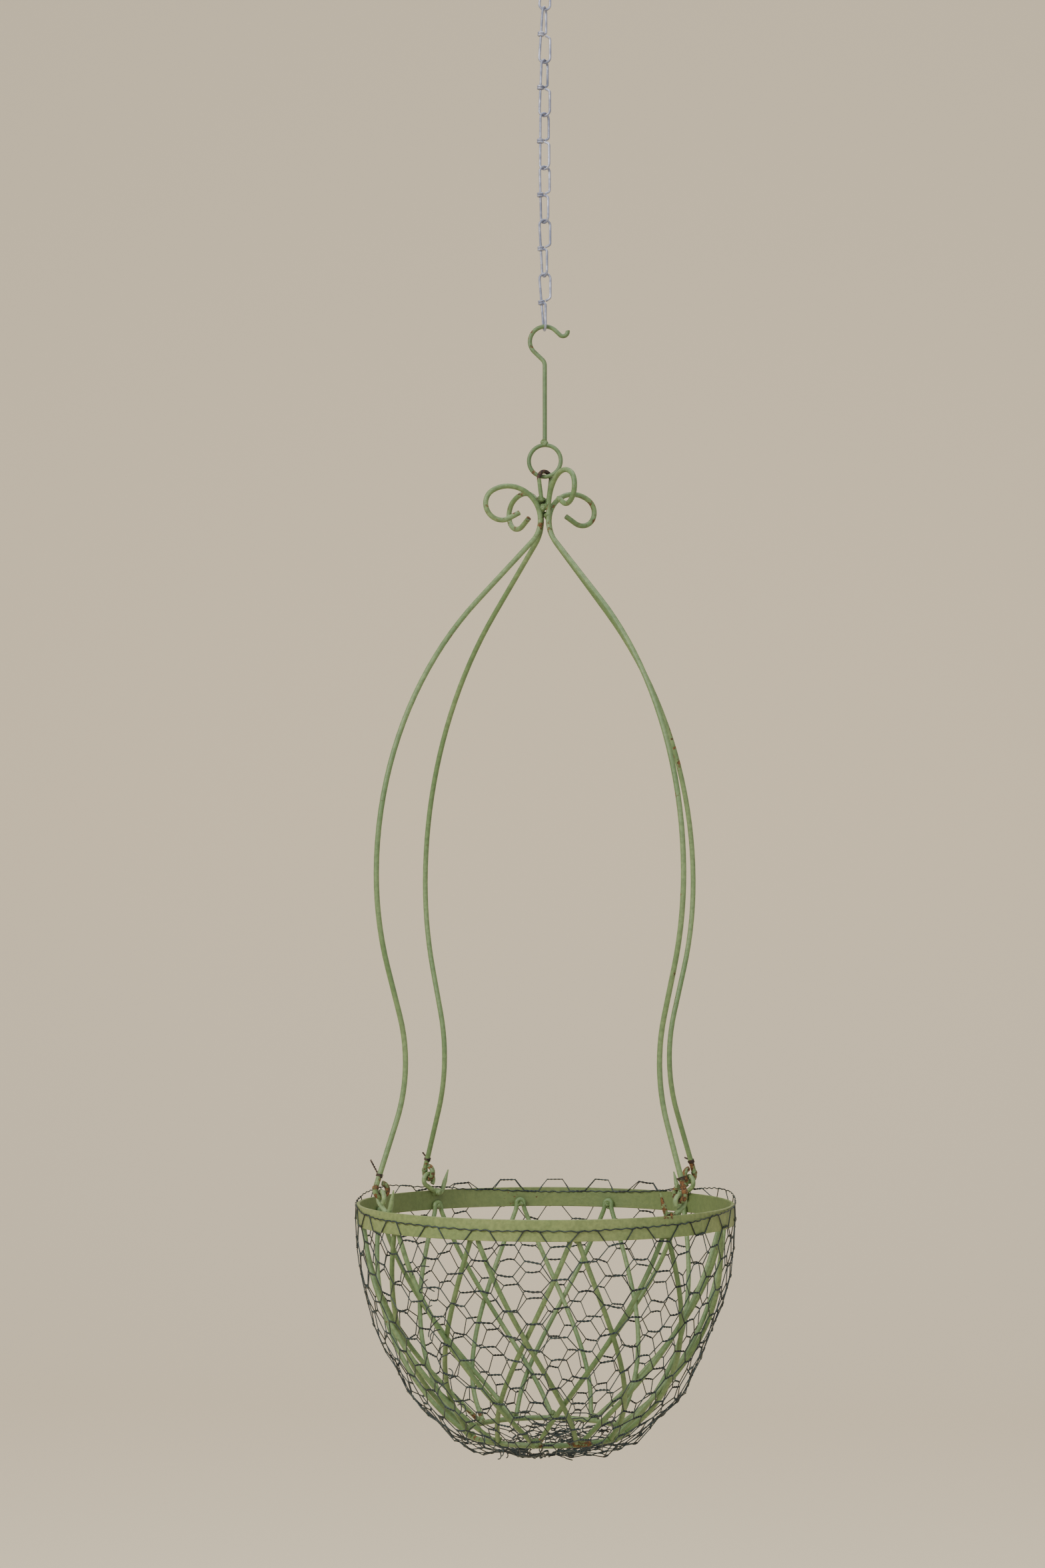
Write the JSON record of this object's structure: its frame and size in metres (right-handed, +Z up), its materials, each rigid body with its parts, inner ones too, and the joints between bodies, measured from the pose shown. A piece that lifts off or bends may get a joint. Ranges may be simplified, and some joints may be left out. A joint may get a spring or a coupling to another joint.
{
  "type": "hanging basket",
  "caption": "Round open-bowl hanging basket of welded green rods on a flat rim band, lined with hexagonal wire netting, with scroll-topped arms and a double-loop chain",
  "frame": {"origin": "inside top of the uppermost chain loop, where the basket hangs", "axes": "+Z is up along the line that the basket hangs in; -Y is the side that faces the viewer, +X is to the viewer's right"},
  "size_m": [0.3591, 0.359, 1.4448],
  "materials": {
    "green_paint": "sage green paint, chipped with rust showing at joints and welds",
    "weld_metal": "rough weld metal painted over, rust in its hollows",
    "zinc_wire": "dull zinc-coated wire",
    "netting_wire": "dark coated netting wire",
    "tie_wire": "dark oxidised soft wire"
  },
  "bodies": {
    "link_1": {"chain_link_1": "zinc_wire"},
    "link_2": {"chain_link_2": "zinc_wire"},
    "link_3": {"chain_link_3": "zinc_wire"},
    "link_4": {"chain_link_4": "zinc_wire"},
    "link_5": {"chain_link_5": "zinc_wire"},
    "link_6": {"chain_link_6": "zinc_wire"},
    "link_7": {"chain_link_7": "zinc_wire"},
    "hook": {"hook_rod": "green_paint", "hook_ring": "green_paint", "ring_weld": "weld_metal"},
    "hanger": {"hanger_eye": "green_paint", "neck_weld": "weld_metal", "arm_front_left": "green_paint", "arm_front_right": "green_paint", "arm_back_right": "green_paint", "arm_back_left": "green_paint", "tie_wires": "tie_wire"},
    "bowl": {"rim_band": "green_paint", "rim_hook_front_left": "green_paint", "rim_hook_front_right": "green_paint", "rim_hook_back_right": "green_paint", "rim_hook_back_left": "green_paint", "hook_welds": "weld_metal", "base_ring": "green_paint", "bowl_rod_01": "green_paint", "bowl_rod_02": "green_paint", "bowl_rod_03": "green_paint", "bowl_rod_04": "green_paint", "bowl_rod_05": "green_paint", "bowl_rod_06": "green_paint", "bowl_rod_07": "green_paint", "bowl_rod_08": "green_paint", "bowl_rod_09": "green_paint", "bowl_rod_10": "green_paint", "bowl_rod_11": "green_paint", "bowl_rod_12": "green_paint", "rim_welds": "weld_metal", "base_welds": "weld_metal", "wire_netting": "netting_wire"}
  },
  "joints": [
    {"name": "link_2_swing", "type": "hinge", "parent": "link_1", "child": "link_2", "pos_m": [0, 0, -0.0547], "axis": [0.9659, 0.2588, 0], "range_deg": [-30, 30]},
    {"name": "link_3_swing", "type": "hinge", "parent": "link_2", "child": "link_3", "pos_m": [0, 0, -0.1052], "axis": [0.4226, 0.9063, 0], "range_deg": [-30, 30]},
    {"name": "link_4_swing", "type": "hinge", "parent": "link_3", "child": "link_4", "pos_m": [0, 0, -0.1611], "axis": [0.9659, -0.2588, 0], "range_deg": [-30, 30]},
    {"name": "link_5_swing", "type": "hinge", "parent": "link_4", "child": "link_5", "pos_m": [0, 0, -0.2116], "axis": [0.8191, 0.5736, 0], "range_deg": [-30, 30]},
    {"name": "link_6_swing", "type": "hinge", "parent": "link_5", "child": "link_6", "pos_m": [0, 0, -0.2675], "axis": [0.7071, -0.7071, 0], "range_deg": [-30, 30]},
    {"name": "link_7_swing", "type": "hinge", "parent": "link_6", "child": "link_7", "pos_m": [0, 0, -0.318], "axis": [0.9962, 0.0872, 0], "range_deg": [-30, 30]},
    {"name": "hook_swing", "type": "hinge", "parent": "link_7", "child": "hook", "pos_m": [0, 0, -0.3703], "axis": [1, 0, 0], "range_deg": [-30, 30]},
    {"name": "hanger_swing", "type": "hinge", "parent": "hook", "child": "hanger", "pos_m": [0, 0, -0.51793], "axis": [1, 0, 0], "range_deg": [-30, 30]},
    {"name": "bowl_lift", "type": "slide", "parent": "hanger", "child": "bowl", "axis": [0, 0, 1], "range_m": [0, 0.0018]}
  ]
}
